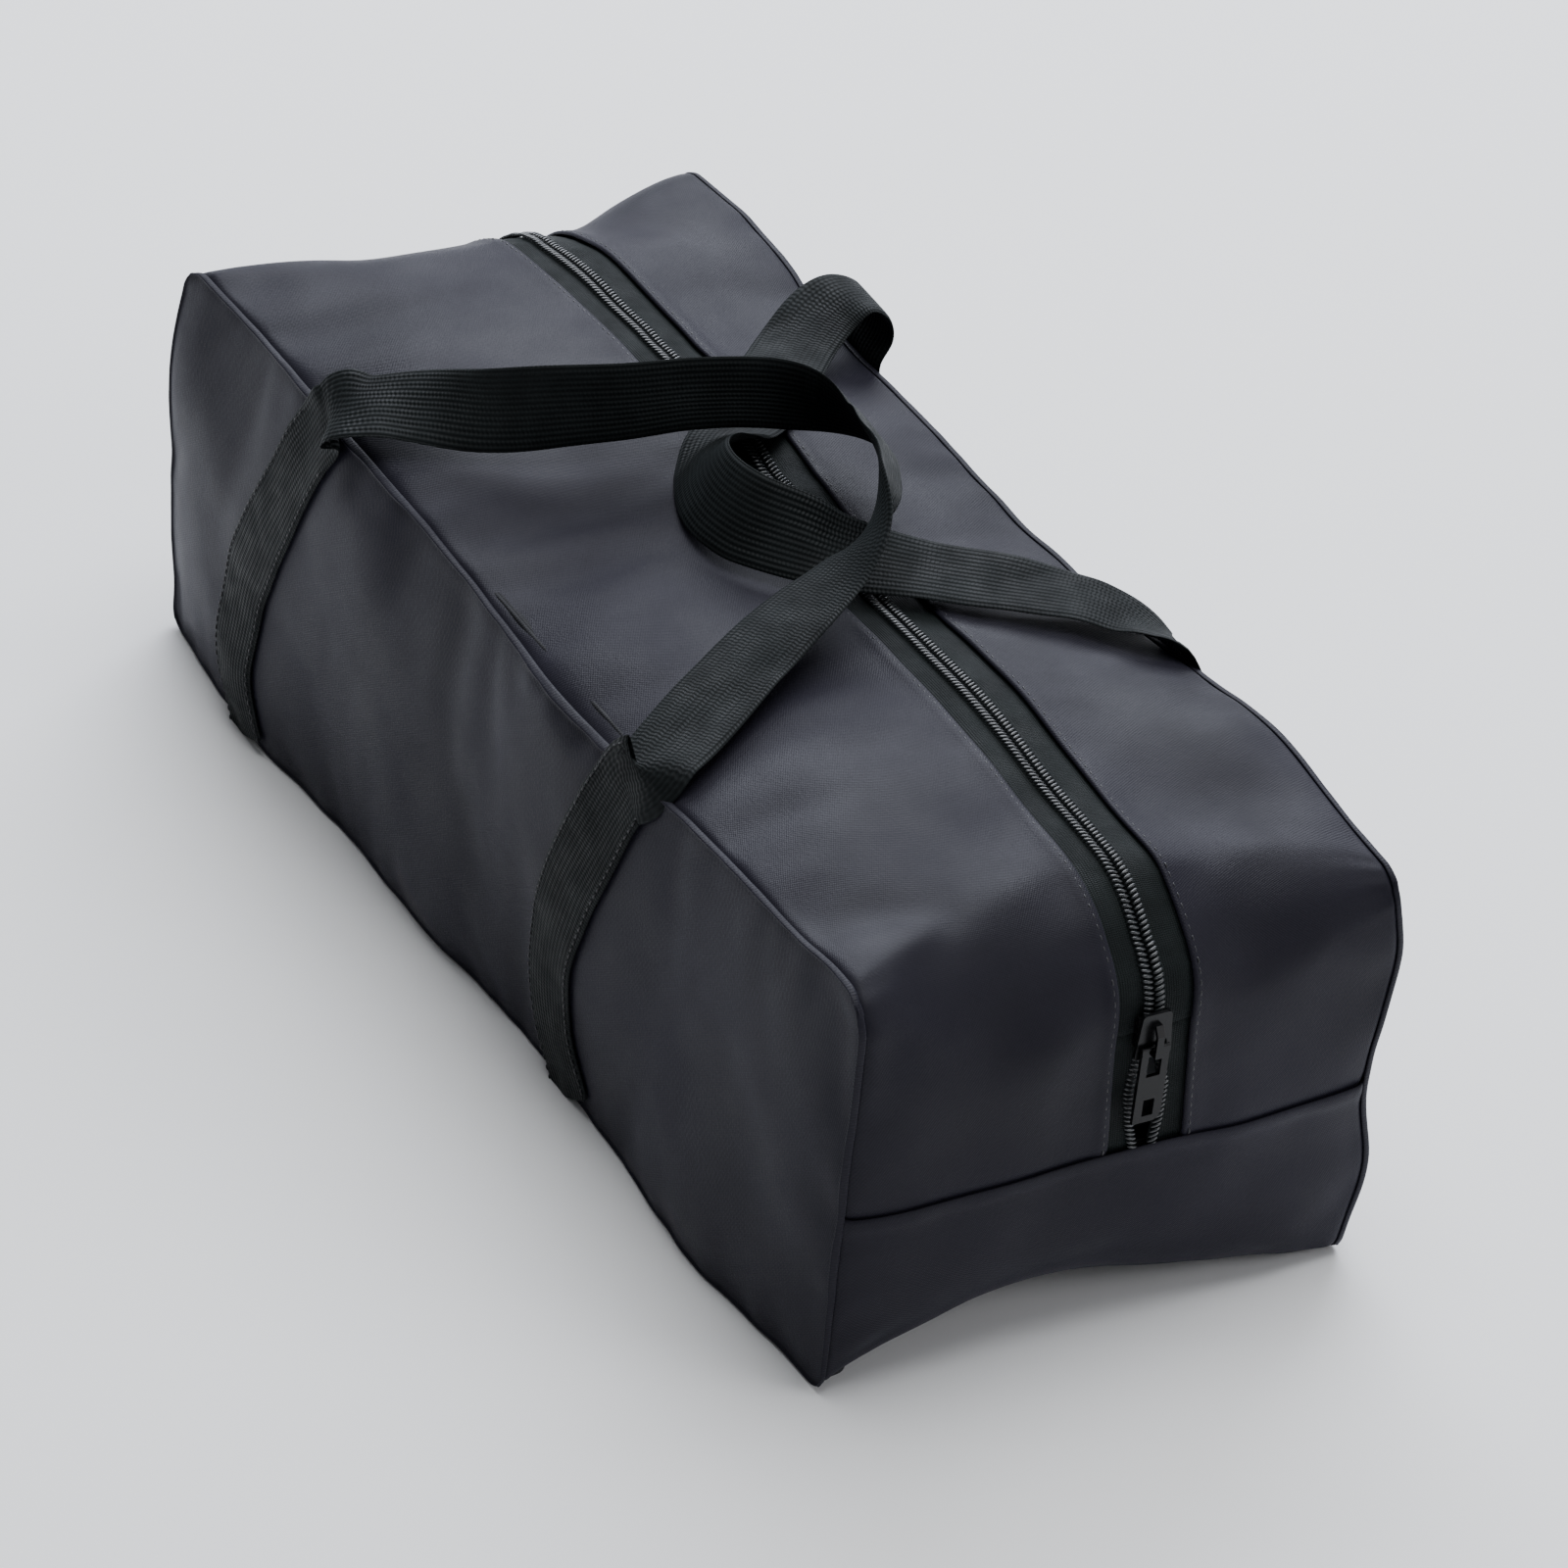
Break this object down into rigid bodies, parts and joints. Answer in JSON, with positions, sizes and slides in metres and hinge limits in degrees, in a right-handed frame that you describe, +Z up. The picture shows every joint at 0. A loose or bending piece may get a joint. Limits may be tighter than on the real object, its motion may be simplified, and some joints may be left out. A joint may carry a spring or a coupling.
{
  "type": "sandbag",
  "caption": "Zipped black duffel-shaped sandbag for weighting stands, with two crossed webbing handles and sealed sand pouches inside.",
  "frame": {"origin": "on the floor under the middle of the bag's base", "axes": "+Y along the bag away from the end where the zip closes, +X across it to the right seen from that end, +Z up"},
  "size_m": [0.2116, 0.5073, 0.207],
  "materials": {
    "shell_cloth": "matte",
    "webbing": "matte",
    "zip_tape": "matte",
    "zip_coil": "satin",
    "slider_metal": "gloss",
    "binding": "matte",
    "pouch_film": "matte",
    "pouch_closure": "matte",
    "sand": "matte"
  },
  "bodies": {
    "bag": {"left_side_panel": "shell_cloth", "right_side_panel": "shell_cloth", "top_panel_left": "shell_cloth", "top_panel_right": "shell_cloth", "base_panel": "shell_cloth", "left_seam_binding": "binding", "right_seam_binding": "binding", "front_seam_binding": "binding", "rear_seam_binding": "binding", "zip_tape_left": "zip_tape", "zip_tape_right": "zip_tape", "zip_coil_left": "zip_coil", "zip_coil_right": "zip_coil", "left_rear_webbing": "webbing", "left_front_webbing": "webbing", "right_rear_webbing": "webbing", "right_front_webbing": "webbing", "front_pouch": "pouch_film", "front_sand_fill": "sand", "front_pouch_closure": "pouch_closure", "middle_pouch": "pouch_film", "middle_sand_fill": "sand", "middle_pouch_closure": "pouch_closure", "rear_pouch": "pouch_film", "rear_sand_fill": "sand", "rear_pouch_closure": "pouch_closure"},
    "zip_slider": {"zip_slider_body": "slider_metal"},
    "zip_pull": {"zip_pull_tab": "slider_metal"},
    "left_handle": {"left_handle_loop": "webbing"},
    "right_handle": {"right_handle_loop": "webbing"}
  },
  "joints": [
    {"name": "left_handle_swing", "type": "hinge", "parent": "bag", "child": "left_handle", "pos_m": [-0.1008, 0, 0.1556], "axis": [0, -1, 0], "range_deg": [0, 75]},
    {"name": "right_handle_swing", "type": "hinge", "parent": "bag", "child": "right_handle", "pos_m": [0.1008, 0, 0.1556], "axis": [0, -1, 0], "range_deg": [-67.5, 0]},
    {"name": "zip_slide", "type": "slide", "parent": "bag", "child": "zip_slider", "axis": [0, 0, 1], "range_m": [-0.035, 0], "deforming": ["zip_tape_left", "zip_tape_right", "zip_coil_left", "zip_coil_right"]},
    {"name": "pull_tab_swing", "type": "hinge", "parent": "zip_slider", "child": "zip_pull", "pos_m": [0.009, -0.25385, 0.115], "axis": [-1, 0, 0], "range_deg": [0, 160]}
  ],
  "couplings": [
    {"joint": "right_handle_swing", "follows": "left_handle_swing", "ratio": -0.9}
  ]
}
